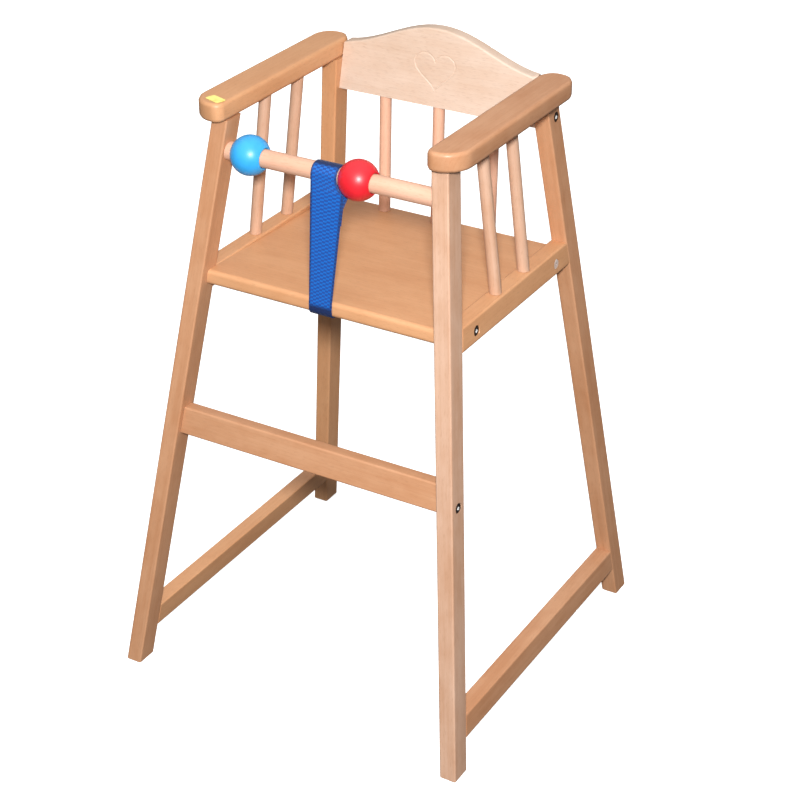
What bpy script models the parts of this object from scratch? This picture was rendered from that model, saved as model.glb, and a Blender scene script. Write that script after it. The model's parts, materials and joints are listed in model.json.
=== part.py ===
"""Baby high chair: two glued beech side frames, held apart by a seat board, a footrest bar and a back
board on knock-down bolts, with a front bar that carries two play beads and the crotch strap.

Metres, +Z up. The chair stands on the floor plane, faces -Y, and the middle of its footprint is the origin.
A piece "leans" when its section is drawn level and shifted sideways in step with its height, as the
pieces of a splayed frame are cut.
"""

import math

import bmesh
import bpy
from mathutils import Matrix, Vector

# Frame
GAP = 0.0003  # clearance between pieces that touch
FOOT_HALF_WIDTH = 0.246  # middle of the chair to a foot's outer face, on the floor
FOOT_HALF_DEPTH = 0.2425  # middle of the chair to the front of a front foot, on the floor
SPLAY = 0.124  # how far a side frame leans inwards per metre of height
FRONT_RAKE = 0.178  # how far a front leg leans back per metre of height
REAR_RAKE = 0.124  # how far a rear leg leans forward per metre of height
STOCK = 0.022  # thickness of the side frames' wood
LEG_DEPTH = 0.0295
ARRIS = 0.0022  # rounding of the long edges
TENON_SHARE = 0.45  # of the stock's thickness
TENON_LENGTH = 0.014

# Side frames
RAIL_BOTTOM, RAIL_TOP = 0.511, 0.5395
STRETCHER_BOTTOM, STRETCHER_TOP = 0.042, 0.072
ARM_UNDERSIDE, ARM_TOP = 0.7245, 0.748
ARM_WIDTH = 0.044
ARM_CENTRE_X = 0.1558
ARM_FRONT_Y, ARM_REAR_Y = -0.129, 0.1635
ARM_EDGE = 0.0048
ARM_CORNERS = {"front_inner": 0.012, "front_outer": 0.032, "rear_inner": 0.020, "rear_outer": 0.024}
LEG_TENON_HEIGHT = 0.012
LEG_TENON_SHOULDER = 0.0055
SPINDLE_RADIUS = 0.0075
SPINDLE_TENON_RADIUS = 0.005
SPINDLE_TENON_LENGTH = 0.010
SIDE_SPINDLE_YS = (-0.0184, 0.0521)

# Seat board
SEAT_THICKNESS = 0.019
SEAT_FRONT_Y, SEAT_REAR_Y = -0.137, 0.152
SEAT_FRONT_TOP = 0.540
SEAT_FALL = math.radians(2.0)  # the seat drops to the rear
SEAT_NOSE = 0.0055

# Back board and its spindles, square to the seat
BACK_THICKNESS = 0.018
BACK_SPINDLE_XS = (-0.076, 0.0, 0.076)
BACK_SPINDLE_Y = 0.139  # where a spindle's axis meets the seat's top
BACK_BOTTOM = 0.684
BACK_SHOULDER = 0.745
BACK_RISE = 0.0375
BACK_RISE_HALF_WIDTH = 0.143
BACK_EDGE = 0.0025
HEART_HALF_WIDTH = 0.0285
HEART_HALF_HEIGHT = 0.0235
HEART_CENTRE_X, HEART_CENTRE_Z = -0.0020, 0.7280
HEART_GROOVE_RADIUS = 0.0016
HEART_GROOVE_DEPTH = 0.0009

# Footrest bar between the front legs
FOOTREST_Z = 0.345
FOOTREST_HEIGHT = 0.035
FOOTREST_THICKNESS = 0.016
FOOTREST_SETBACK = 0.0075  # behind the legs' front faces
FOOTREST_BOLT_Z = 0.336
PIN_Z = 0.354
PIN_RADIUS = 0.004
PIN_HALF_LENGTH = 0.012

# Front bar, beads and strap
BAR_Z = 0.685
BAR_RADIUS = 0.011
BAR_TENON_RADIUS = 0.007
BAR_TENON_LENGTH = 0.012
BEAD_RADIUS = 0.024
BEAD_BORE = 0.0114
BLUE_BEAD_X = -0.109
RED_BEAD_X = 0.0375
STRAP_THICKNESS = 0.0018
STRAP_LEFT_TOP, STRAP_LEFT_SEAT = -0.0189, -0.0128  # its edges: the webbing gathers towards the seat
STRAP_RIGHT_TOP, STRAP_RIGHT_SEAT = 0.0272, 0.0188
STRAP_BEAD_CLEARANCE = 0.001  # where the red bead crowds it on the bar
STRAP_FRONT_ROWS = (0.006, 0.011, 0.016, 0.022, 0.034, 0.060, 0.100)  # down the front run from the bar
STRAP_LOOP = 0.055  # from the bar to the end of the loop round it, down the front run
STRAP_SEAM = 0.020  # length of the loop's end that is sewn to the front run
STRAP_SCREW_SETBACK = 0.030  # from the seat's front edge to the strap's screw

# Knock-down fittings: M6 socket screws into 10 mm barrel nuts
BOLT_RADIUS = 0.003
BOLT_HEAD_RADIUS = 0.0064
BOLT_HEAD_HEIGHT = 0.006
BOLT_LENGTH = 0.050
HEX_ACROSS_FLATS = 0.0045
HEX_DEPTH = 0.003
COUNTERBORE_RADIUS = 0.0070
COUNTERBORE_DEPTH = 0.0070
NUT_RADIUS = 0.005
NUT_LENGTH = 0.012
NUT_SETBACK = 0.005  # from the bolt's tip to the nut's axis
SEAT_BOLT_YS = (-0.087, 0.1164)
SEAT_BOLT_Z = 0.5235
BACK_BOLT_Z = 0.699
SCREW_RADIUS = 0.002
SCREW_LENGTH = 0.013
SCREW_HEAD_RADIUS = 0.0045
SCREW_HEAD_HEIGHT = 0.0022
WASHER_RADIUS = 0.009
WASHER_THICKNESS = 0.0012

LABEL_SIZE = (0.0235, 0.0135, 0.0003)
LABEL_CORNER = 0.0025
LABEL_TURN = -19  # degrees, seen from above


def clear_scene():
    for obj in list(bpy.data.objects):
        bpy.data.objects.remove(obj, do_unlink=True)


def new_collection(name):
    collection = bpy.data.collections.new(name)
    bpy.context.scene.collection.children.link(collection)
    return collection


clear_scene()
CHAIR = new_collection("baby_high_chair")
CUTTERS = new_collection("cutters")


# Materials


def make_material(name, colour, roughness, metallic=0.0):
    material = bpy.data.materials.new(name)
    material.use_nodes = True
    shader = material.node_tree.nodes["Principled BSDF"]
    shader.inputs["Base Color"].default_value = (*colour, 1.0)
    shader.inputs["Roughness"].default_value = roughness
    shader.inputs["Metallic"].default_value = metallic
    return material


FRAME_BEECH = make_material("frame_beech", (0.64, 0.37, 0.19), 0.42)
SEAT_BEECH = make_material("seat_beech", (0.60, 0.34, 0.17), 0.45)
PALE_BEECH = make_material("pale_beech", (0.84, 0.62, 0.43), 0.45)
BLUE_LACQUER = make_material("blue_lacquer", (0.06, 0.48, 0.84), 0.18)
RED_LACQUER = make_material("red_lacquer", (0.84, 0.02, 0.03), 0.16)
BLUE_WEBBING = make_material("blue_webbing", (0.01, 0.13, 0.63), 0.75)
BRIGHT_STEEL = make_material("bright_steel", (0.62, 0.61, 0.60), 0.28, 1.0)
YELLOW_PAPER = make_material("yellow_paper", (0.93, 0.85, 0.22), 0.6)


# Where the frame's faces are


def outer_x(z):
    """Distance from the chair's middle to a side frame's outer face."""
    return FOOT_HALF_WIDTH - SPLAY * z


def inner_x(z):
    return outer_x(z) - STOCK


def front_leg_y(z):
    """The front face of a front leg."""
    return -FOOT_HALF_DEPTH + FRONT_RAKE * z


def rear_leg_y(z):
    """The front face of a rear leg."""
    return FOOT_HALF_DEPTH - LEG_DEPTH - REAR_RAKE * z


def seat_top(y):
    return SEAT_FRONT_TOP - math.tan(SEAT_FALL) * (y - SEAT_FRONT_Y)


def seat_point(along, up):
    """(y, z) of a point measured back along the seat's top from its front edge, and square to it."""
    sin, cos = math.sin(SEAT_FALL), math.cos(SEAT_FALL)
    return SEAT_FRONT_Y + along * cos + up * sin, SEAT_FRONT_TOP - along * sin + up * cos


def back_centre_y(z):
    """The middle of the back board and of its spindles, which stand square to the seat."""
    return BACK_SPINDLE_Y + math.tan(SEAT_FALL) * (z - seat_top(BACK_SPINDLE_Y))


# Building blocks


def box_mesh(size, centre=(0, 0, 0)):
    bm = bmesh.new()
    matrix = Matrix.Translation(centre) @ Matrix.Diagonal((*size, 1))
    bmesh.ops.create_cube(bm, size=1, matrix=matrix)
    return bm


def rod_mesh(radius, length, segments=20):
    """A rod along Z about its own middle."""
    bm = bmesh.new()
    bmesh.ops.create_cone(
        bm, cap_ends=True, segments=segments, radius1=radius, radius2=radius, depth=length
    )
    return bm


def cap_at(bm, end):
    """The face that closes a rod or a box at its top (end 1) or its bottom (end -1)."""
    return max(bm.faces, key=lambda face: end * face.calc_center_median().z)


def extend_cap(bm, end, inset, length):
    """Steps a rod's end in by inset and carries it on by length, as a turned tenon."""
    cap = cap_at(bm, end)
    bmesh.ops.inset_individual(bm, faces=[cap], thickness=inset, use_even_offset=True)
    made = bmesh.ops.extrude_discrete_faces(bm, faces=[cap])["faces"][0]
    for vert in made.verts:
        vert.co.z += end * length


def round_edges(bm, radius, chosen, segments=2):
    edges = [edge for edge in bm.edges if chosen(edge)]
    bmesh.ops.bevel(
        bm, geom=edges, offset=radius, segments=segments, profile=0.5, affect="EDGES", clamp_overlap=True
    )


def runs_along(axis):
    """Picks the edges of a box that run along one axis."""

    def chosen(edge):
        run = edge.verts[0].co - edge.verts[1].co
        return abs(run[axis]) > 0.9 * run.length

    return chosen


def lean(bm, run_x, run_y=0.0):
    """Shifts every level section sideways in step with its height above the origin."""
    shear = Matrix(((1, 0, run_x, 0), (0, 1, run_y, 0), (0, 0, 1, 0), (0, 0, 0, 1)))
    bmesh.ops.transform(bm, matrix=shear, verts=bm.verts)


def move(bm, offset):
    bmesh.ops.translate(bm, vec=Vector(offset), verts=bm.verts)


def turn(bm, angle, axis):
    bmesh.ops.rotate(bm, cent=(0, 0, 0), matrix=Matrix.Rotation(angle, 3, axis), verts=bm.verts)


def finish(name, bm, material, at, collection=CHAIR):
    """Makes the object, with its origin at the point given."""
    move(bm, -Vector(at))
    bmesh.ops.recalc_face_normals(bm, faces=bm.faces)
    mesh = bpy.data.meshes.new(name)
    bm.to_mesh(mesh)
    bm.free()
    for polygon in mesh.polygons:
        polygon.use_smooth = True
    mesh.set_sharp_from_angle(angle=math.radians(35))
    if material:
        mesh.materials.append(material)
    obj = bpy.data.objects.new(name, mesh)
    obj.location = at
    collection.objects.link(obj)
    return obj


def helper(name, bm):
    """A solid that only cuts or joins: it isn't a piece of the chair."""
    obj = finish(name, bm, None, (0, 0, 0), CUTTERS)
    obj.hide_render = True
    obj.display_type = "WIRE"
    return obj


def combine(piece, other, operation):
    modifier = piece.modifiers.new(f"{operation.lower()}_{other.name}", "BOOLEAN")
    modifier.operation = operation
    modifier.solver = "EXACT"
    modifier.object = other


def cut(piece, *others):
    for other in others:
        combine(piece, other, "DIFFERENCE")


def join(piece, *others):
    for other in others:
        combine(piece, other, "UNION")


def side_name(side):
    return "right" if side > 0 else "left"


# Joints cut in wood


def tenon(name, side, y_from, y_to, z_middle, height, grow=0.0):
    """The block of a rail's tenon, or its mortise when it is grown by the clearance."""
    width = STOCK * TENON_SHARE + 2 * grow
    bm = box_mesh((width, y_to - y_from, height + 2 * grow))
    lean(bm, -side * SPLAY)
    move(bm, (side * (outer_x(z_middle) - STOCK / 2), (y_from + y_to) / 2, z_middle))
    return helper(name, bm)


def rail_tenons(name, side, bottom, top, grow=0.0):
    """The two tenons of a rail between a front and a rear leg, each with its mortise's slack behind it."""
    middle = (bottom + top) / 2
    height = (top - bottom) * 0.6
    front_face = front_leg_y(middle) + LEG_DEPTH
    rear_face = rear_leg_y(middle)
    reach = TENON_LENGTH + grow
    front = tenon(f"{name}_front", side, front_face - reach, front_face + 0.008, middle, height, grow)
    rear = tenon(f"{name}_rear", side, rear_face - 0.008, rear_face + reach, middle, height, grow)
    return front, rear


def hole_along_x(name, x_from, x_to, y, z, radius, segments=24):
    bm = rod_mesh(radius, abs(x_to - x_from), segments)
    turn(bm, math.radians(90), "Y")
    move(bm, ((x_from + x_to) / 2, y, z))
    return helper(name, bm)


# Knock-down fittings


def bolt_seat_x(z):
    """Where a bolt's head bears, at the floor of its counterbore."""
    return outer_x(z) - COUNTERBORE_DEPTH


def bolt_clearance(name, side, y, z):
    """Counterbore and clearance hole for one bolt, as two cutters."""
    seat = side * bolt_seat_x(z)
    tip = side * (bolt_seat_x(z) - BOLT_LENGTH - 2 * GAP)
    open_end = side * (outer_x(z) + 0.004)
    bore = hole_along_x(f"{name}_counterbore", seat, open_end, y, z, COUNTERBORE_RADIUS)
    shank = hole_along_x(f"{name}_shank_hole", tip, open_end, y, z, BOLT_RADIUS + GAP, 16)
    return bore, shank


def nut_x(z):
    return bolt_seat_x(z) - BOLT_LENGTH + NUT_SETBACK


def nut_hole(name, side, y, z, axis, towards, reach):
    """The blind hole that a barrel nut is dropped into, open on one face of the board."""
    blind = NUT_LENGTH / 2 + GAP
    bm = rod_mesh(NUT_RADIUS + GAP, reach + blind, 16)
    move(bm, (0, 0, (reach - blind) / 2))
    if axis == "Y":
        turn(bm, math.radians(-90 * towards), "X")
    elif towards < 0:
        turn(bm, math.radians(180), "X")
    move(bm, (side * nut_x(z), y, z))
    return helper(name, bm)


def hex_radius(angle):
    """The outline of a hexagon socket, as a distance from its middle."""
    within = (angle % math.radians(60)) - math.radians(30)
    return HEX_ACROSS_FLATS / 2 / math.cos(within)


def make_bolt(name, side, y, z):
    """A socket cap screw: shank towards -Z, then head, then a hexagon socket sunk in the head."""
    bm = rod_mesh(BOLT_RADIUS, BOLT_LENGTH, 18)
    move(bm, (0, 0, -BOLT_LENGTH / 2 + GAP))
    cap = cap_at(bm, 1)
    ring = bmesh.ops.extrude_discrete_faces(bm, faces=[cap])["faces"][0]
    for vert in ring.verts:
        vert.co.xy = vert.co.xy * (BOLT_HEAD_RADIUS / BOLT_RADIUS)
    head = bmesh.ops.extrude_discrete_faces(bm, faces=[ring])["faces"][0]
    for vert in head.verts:
        vert.co.z += BOLT_HEAD_HEIGHT - 0.0006
    rim = bmesh.ops.extrude_discrete_faces(bm, faces=[head])["faces"][0]
    for vert in rim.verts:
        vert.co.xy = vert.co.xy * 0.9
        vert.co.z += 0.0006
    socket = bmesh.ops.extrude_discrete_faces(bm, faces=[rim])["faces"][0]
    for vert in socket.verts:
        angle = math.atan2(vert.co.y, vert.co.x)
        vert.co.xy = vert.co.xy.normalized() * hex_radius(angle)
    floor = bmesh.ops.extrude_discrete_faces(bm, faces=[socket])["faces"][0]
    for vert in floor.verts:
        vert.co.z -= HEX_DEPTH
    bm.normal_update()
    turn(bm, math.radians(90 * side), "Y")
    at = Vector((side * bolt_seat_x(z), y, z))
    move(bm, at)
    return finish(name, bm, BRIGHT_STEEL, at)


def make_barrel_nut(name, side, y, z, axis):
    bm = rod_mesh(NUT_RADIUS, NUT_LENGTH, 16)
    if axis == "Y":
        turn(bm, math.radians(90), "X")
    at = Vector((side * nut_x(z), y, z))
    move(bm, at)
    nut = finish(name, bm, BRIGHT_STEEL, at)
    reach = NUT_RADIUS + 0.003
    cut(nut, hole_along_x(f"{name}_thread", at.x - reach, at.x + reach, y, z, BOLT_RADIUS + GAP, 16))
    return nut


# Side frames


def leg_tenon(name, side, front, grow=0.0):
    """The block of a leg's tenon, from 4 mm inside the leg, or the arm's mortise when it is grown."""
    face = front_leg_y if front else rear_leg_y
    width = STOCK - 2 * LEG_TENON_SHOULDER + 2 * grow
    depth = LEG_DEPTH - 2 * LEG_TENON_SHOULDER + 2 * grow
    rooted = 0.004
    height = LEG_TENON_HEIGHT + grow
    top = ARM_UNDERSIDE - GAP
    bm = box_mesh((width, depth, height + rooted), (0, 0, (height - rooted) / 2))
    move(bm, (side * (outer_x(top) - STOCK / 2), face(top) + LEG_DEPTH / 2, top))
    return helper(name, bm)


def make_leg(name, side, front):
    """A straight leg, level at the floor and under the arm, with a tenon that stands up into the arm."""
    run_y = FRONT_RAKE if front else -REAR_RAKE
    face = front_leg_y if front else rear_leg_y
    height = ARM_UNDERSIDE - GAP
    bm = box_mesh((STOCK, LEG_DEPTH, height), (0, 0, height / 2))
    round_edges(bm, ARRIS, runs_along(2))
    sole = cap_at(bm, -1)
    bmesh.ops.bevel(bm, geom=list(sole.edges), offset=0.0015, segments=1, affect="EDGES")
    lean(bm, -side * SPLAY, run_y)
    foot = Vector((side * (FOOT_HALF_WIDTH - STOCK / 2), face(0) + LEG_DEPTH / 2, 0))
    move(bm, foot)
    leg = finish(name, bm, FRAME_BEECH, foot)
    join(leg, leg_tenon(f"{name}_tenon", side, front))
    return leg


def make_rail(name, side, bottom, top):
    """A rail between a front and a rear leg: its ends follow the legs, and it carries two tenons."""
    middle = (bottom + top) / 2
    bm = box_mesh((STOCK, 1.0, top - bottom))
    round_edges(bm, ARRIS, runs_along(1))
    for vert in bm.verts:
        z = middle + vert.co.z
        vert.co.y = front_leg_y(z) + LEG_DEPTH + GAP if vert.co.y < 0 else rear_leg_y(z) - GAP
    lean(bm, -side * SPLAY)
    at = Vector((side * (outer_x(middle) - STOCK / 2), 0, middle))
    move(bm, at)
    rail = finish(name, bm, FRAME_BEECH, at)
    join(rail, *rail_tenons(f"{name}_tenon", side, bottom, top))
    return rail


def arm_outline():
    """The arm's outline seen from above, its inner edge on the -X side, anticlockwise."""
    half_width = ARM_WIDTH / 2
    corners = (
        (1, ARM_REAR_Y, ARM_CORNERS["rear_outer"], 0),
        (-1, ARM_REAR_Y, ARM_CORNERS["rear_inner"], 90),
        (-1, ARM_FRONT_Y, ARM_CORNERS["front_inner"], 180),
        (1, ARM_FRONT_Y, ARM_CORNERS["front_outer"], 270),
    )
    points = []
    for x_side, y_end, radius, start in corners:
        centre_x = x_side * (half_width - radius)
        centre_y = y_end - math.copysign(radius, y_end)
        for step in range(7):
            angle = math.radians(start + 90 * step / 6)
            points.append((centre_x + radius * math.cos(angle), centre_y + radius * math.sin(angle)))
    return points


def curve_to_mesh(curve_object, weld=0.00005):
    """Reads a curve object's solid as a bmesh in world space, and removes the curve."""
    graph = bpy.context.evaluated_depsgraph_get()
    mesh = bpy.data.meshes.new_from_object(curve_object.evaluated_get(graph))
    bm = bmesh.new()
    bm.from_mesh(mesh)
    bmesh.ops.transform(bm, matrix=curve_object.matrix_world, verts=bm.verts)
    bmesh.ops.remove_doubles(bm, verts=bm.verts, dist=weld)
    bpy.data.meshes.remove(mesh)
    bpy.data.objects.remove(curve_object, do_unlink=True)
    return bm


def outline_solid(name, points, thickness):
    """A flat piece with the outline given in XY, from -thickness/2 to +thickness/2 in Z."""
    curve = bpy.data.curves.new(name, "CURVE")
    curve.dimensions = "2D"
    curve.fill_mode = "BOTH"
    curve.extrude = thickness / 2
    spline = curve.splines.new("POLY")
    spline.points.add(len(points) - 1)
    for point, (x, y) in zip(spline.points, points):
        point.co = (x, y, 0, 1)
    spline.use_cyclic_u = True
    obj = bpy.data.objects.new(name, curve)
    CUTTERS.objects.link(obj)
    bpy.context.view_layer.update()
    return curve_to_mesh(obj)


def is_rim(edge):
    """An edge where a flat piece's face meets its side."""
    return len(edge.link_faces) == 2 and edge.calc_face_angle(0) > math.radians(60)


def make_arm(name, side):
    bm = outline_solid(name, arm_outline(), ARM_TOP - ARM_UNDERSIDE)
    bmesh.ops.dissolve_limit(bm, angle_limit=0.001, verts=bm.verts, edges=bm.edges)
    round_edges(bm, ARM_EDGE, is_rim)
    if side < 0:
        bmesh.ops.scale(bm, vec=(-1, 1, 1), verts=bm.verts)
    at = Vector((side * ARM_CENTRE_X, 0, (ARM_UNDERSIDE + ARM_TOP) / 2))
    move(bm, at)
    return finish(name, bm, FRAME_BEECH, at)


def spindle_mesh(bottom, top):
    """A dowel from its lower shoulder to its upper one, with a thinner tenon beyond each."""
    bm = rod_mesh(SPINDLE_RADIUS, top - bottom)
    inset = SPINDLE_RADIUS - SPINDLE_TENON_RADIUS
    extend_cap(bm, 1, inset, SPINDLE_TENON_LENGTH)
    extend_cap(bm, -1, inset, SPINDLE_TENON_LENGTH)
    move(bm, (0, 0, (bottom + top) / 2))
    return bm


def spindle_socket_mesh(z_face, towards):
    """The blind hole for a spindle's tenon, from 2 mm outside the face it opens on."""
    depth = SPINDLE_TENON_LENGTH + 0.001
    bm = rod_mesh(SPINDLE_TENON_RADIUS + GAP, depth + 0.002)
    move(bm, (0, 0, z_face + towards * (depth - 0.002) / 2))
    return bm


def lean_into_frame(bm, side, y):
    """Sets a piece drawn on the Z axis into a side frame's plane."""
    lean(bm, -side * SPLAY)
    move(bm, (side * (FOOT_HALF_WIDTH - STOCK / 2), y, 0))


def make_side_spindle(name, side, y):
    bm = spindle_mesh(RAIL_TOP + GAP, ARM_UNDERSIDE - GAP)
    lean_into_frame(bm, side, y)
    middle = (RAIL_TOP + ARM_UNDERSIDE) / 2
    return finish(name, bm, PALE_BEECH, (side * (outer_x(middle) - STOCK / 2), y, middle))


def cut_side_sockets(side, y, tag, rail, arm):
    for piece, face, towards in ((rail, RAIL_TOP, -1), (arm, ARM_UNDERSIDE, 1)):
        bm = spindle_socket_mesh(face, towards)
        lean_into_frame(bm, side, y)
        cut(piece, helper(f"{piece.name}_socket_{tag}", bm))


def make_side_frame(side):
    """One glued side: two legs, seat rail, floor stretcher, two spindles and the arm on top."""
    which = side_name(side)
    legs = {
        "front": make_leg(f"front_leg_{which}", side, True),
        "rear": make_leg(f"rear_leg_{which}", side, False),
    }
    rail = make_rail(f"seat_rail_{which}", side, RAIL_BOTTOM, RAIL_TOP)
    make_rail(f"floor_stretcher_{which}", side, STRETCHER_BOTTOM, STRETCHER_TOP)
    arm = make_arm(f"armrest_{which}", side)
    for level, bottom, top in (("rail", RAIL_BOTTOM, RAIL_TOP), ("stretcher", STRETCHER_BOTTOM, STRETCHER_TOP)):
        front, rear = rail_tenons(f"{level}_mortise_{which}", side, bottom, top, GAP)
        cut(legs["front"], front)
        cut(legs["rear"], rear)
    for end in ("front", "rear"):
        cut(arm, leg_tenon(f"leg_mortise_{end}_{which}", side, end == "front", GAP))
    for end, y in zip(("front", "rear"), SIDE_SPINDLE_YS):
        make_side_spindle(f"side_spindle_{end}_{which}", side, y)
        cut_side_sockets(side, y, end, rail, arm)
    return legs, rail


# Cross pieces between the side frames


def fit_between_frames(bm):
    """Moves the two ends of a cross piece onto the side frames' inner faces."""
    for vert in bm.verts:
        vert.co.x = math.copysign(inner_x(vert.co.z) - GAP, vert.co.x)


def make_seat():
    """The seat board, its front edge rounded over, with its ends cut to the side frames."""
    depth = (SEAT_REAR_Y - SEAT_FRONT_Y) / math.cos(SEAT_FALL)
    bm = box_mesh((1, depth, SEAT_THICKNESS), (0, depth / 2, -SEAT_THICKNESS / 2))
    round_edges(bm, SEAT_NOSE, lambda edge: runs_along(0)(edge) and edge.verts[0].co.y < depth / 2, 4)
    rear_edges = lambda edge: runs_along(0)(edge) and edge.verts[0].co.y > depth - 0.001
    round_edges(bm, ARRIS, rear_edges)
    turn(bm, -SEAT_FALL, "X")
    move(bm, (0, SEAT_FRONT_Y, SEAT_FRONT_TOP))
    fit_between_frames(bm)
    middle_y = (SEAT_FRONT_Y + SEAT_REAR_Y) / 2
    return finish("seat_board", bm, SEAT_BEECH, (0, middle_y, seat_top(middle_y)))


def square_to_seat(bm, x):
    """Sets a piece drawn upright on the Z axis at seat height into the plane of the back."""
    base = seat_top(BACK_SPINDLE_Y)
    move(bm, (0, 0, -base))
    lean(bm, 0, math.tan(SEAT_FALL))
    move(bm, (x, BACK_SPINDLE_Y, base))


def make_back_spindle(name, x):
    base = seat_top(BACK_SPINDLE_Y)
    bm = spindle_mesh(base + 2 * GAP, BACK_BOTTOM - GAP)
    square_to_seat(bm, x)
    middle = (base + BACK_BOTTOM) / 2
    return finish(name, bm, PALE_BEECH, (x, back_centre_y(middle), middle))


def back_socket(name, x, z_face, towards):
    bm = spindle_socket_mesh(z_face, towards)
    square_to_seat(bm, x)
    return helper(name, bm)


def back_top(x):
    """Height of the back board's camel-back top edge."""
    swing = math.cos(math.pi * min(1, abs(x) / BACK_RISE_HALF_WIDTH))
    return BACK_SHOULDER + BACK_RISE * (1 + swing) / 2


def back_outline():
    steps = 24
    half = inner_x(BACK_SHOULDER) - GAP
    points = [(-inner_x(BACK_BOTTOM) + GAP, BACK_BOTTOM), (inner_x(BACK_BOTTOM) - GAP, BACK_BOTTOM)]
    for step in range(steps + 1):
        x = half * (1 - 2 * step / steps)
        points.append((x, back_top(x)))
    return points


def heart_point(angle):
    """A heart as wide and as high as its half sizes say, its point at the bottom."""
    x = HEART_CENTRE_X + HEART_HALF_WIDTH * math.sin(angle) ** 3
    raw = 13 * math.cos(angle) - 5 * math.cos(2 * angle) - 2 * math.cos(3 * angle) - math.cos(4 * angle)
    return x, HEART_CENTRE_Z + HEART_HALF_HEIGHT * (raw + 2.5) / 14.5


def heart_groove():
    """A round-bottomed groove along the heart's outline, on the board's front face."""
    curve = bpy.data.curves.new("heart_groove", "CURVE")
    curve.dimensions = "3D"
    curve.bevel_depth = HEART_GROOVE_RADIUS
    curve.bevel_resolution = 1
    spline = curve.splines.new("POLY")
    half = [24, 34, 46, 60, 75, 90, 105, 120, 134, 146]  # degrees: none near the cleft or the point
    angles = [0, *half, 180, *(360 - angle for angle in reversed(half))]
    spline.points.add(len(angles) - 1)
    proud = HEART_GROOVE_RADIUS - HEART_GROOVE_DEPTH
    for angle, point in zip(angles, spline.points):
        x, z = heart_point(math.radians(angle))
        point.co = (x, back_centre_y(z) - BACK_THICKNESS / 2 - proud, z, 1)
    spline.use_cyclic_u = True
    obj = bpy.data.objects.new("heart_groove", curve)
    CUTTERS.objects.link(obj)
    bpy.context.view_layer.update()
    return helper("heart_groove_cutter", curve_to_mesh(obj))


def make_back_board():
    bm = outline_solid("back_board", back_outline(), BACK_THICKNESS)
    bmesh.ops.dissolve_limit(bm, angle_limit=0.001, verts=bm.verts, edges=bm.edges)
    is_top = lambda edge: is_rim(edge) and min(vert.co.y for vert in edge.verts) > BACK_SHOULDER - 0.001
    round_edges(bm, BACK_EDGE, is_top)
    turn(bm, math.radians(90), "X")
    for vert in bm.verts:
        vert.co.y += back_centre_y(vert.co.z)
    board = finish("back_board", bm, PALE_BEECH, (0, back_centre_y(BACK_BOTTOM), BACK_BOTTOM))
    cut(board, heart_groove())
    return board


def footrest_y(z):
    """The middle of the footrest bar, which rakes with the front legs."""
    return front_leg_y(z) + FOOTREST_SETBACK + FOOTREST_THICKNESS / 2


def make_footrest():
    bm = box_mesh((1, FOOTREST_THICKNESS, FOOTREST_HEIGHT))
    round_edges(bm, ARRIS, runs_along(0))
    lean(bm, 0, FRONT_RAKE)
    at = Vector((0, footrest_y(FOOTREST_Z), FOOTREST_Z))
    move(bm, at)
    fit_between_frames(bm)
    return finish("footrest_bar", bm, FRAME_BEECH, at)


def make_locating_pin(side):
    """A short dowel that stops the footrest bar from turning on its bolts."""
    bm = rod_mesh(PIN_RADIUS, 2 * PIN_HALF_LENGTH, 16)
    turn(bm, math.radians(90), "Y")
    at = Vector((side * inner_x(PIN_Z), footrest_y(PIN_Z), PIN_Z))
    move(bm, at)
    return finish(f"locating_pin_{side_name(side)}", bm, PALE_BEECH, at)


def pin_hole(side):
    reach = PIN_HALF_LENGTH + GAP
    x = side * inner_x(PIN_Z)
    name = f"pin_hole_{side_name(side)}"
    return hole_along_x(name, x - reach, x + reach, footrest_y(PIN_Z), PIN_Z, PIN_RADIUS + GAP, 16)


def bar_y():
    """The front bar's axis, in the middle of the front legs."""
    return front_leg_y(BAR_Z) + LEG_DEPTH / 2


def make_front_bar():
    """A dowel whose shoulders meet the front legs, with a thinner tenon into each."""
    bm = rod_mesh(BAR_RADIUS, 1, 32)
    for end in (1, -1):
        extend_cap(bm, end, BAR_RADIUS - BAR_TENON_RADIUS, BAR_TENON_LENGTH)
    turn(bm, math.radians(90), "Y")
    for vert in bm.verts:
        beyond = BAR_TENON_LENGTH if abs(vert.co.x) > 0.5 + BAR_TENON_LENGTH / 2 else 0
        vert.co.x = math.copysign(inner_x(BAR_Z + vert.co.z) - GAP + beyond, vert.co.x)
    at = Vector((0, bar_y(), BAR_Z))
    move(bm, at)
    return finish("front_bar", bm, PALE_BEECH, at)


def bar_socket(side):
    inner = inner_x(BAR_Z)
    x_from = side * (inner - 0.004)
    x_to = side * (inner + BAR_TENON_LENGTH + 2 * GAP)
    name = f"bar_socket_{side_name(side)}"
    return hole_along_x(name, x_from, x_to, bar_y(), BAR_Z, BAR_TENON_RADIUS + 2 * GAP)


# Beads, strap and label


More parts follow.
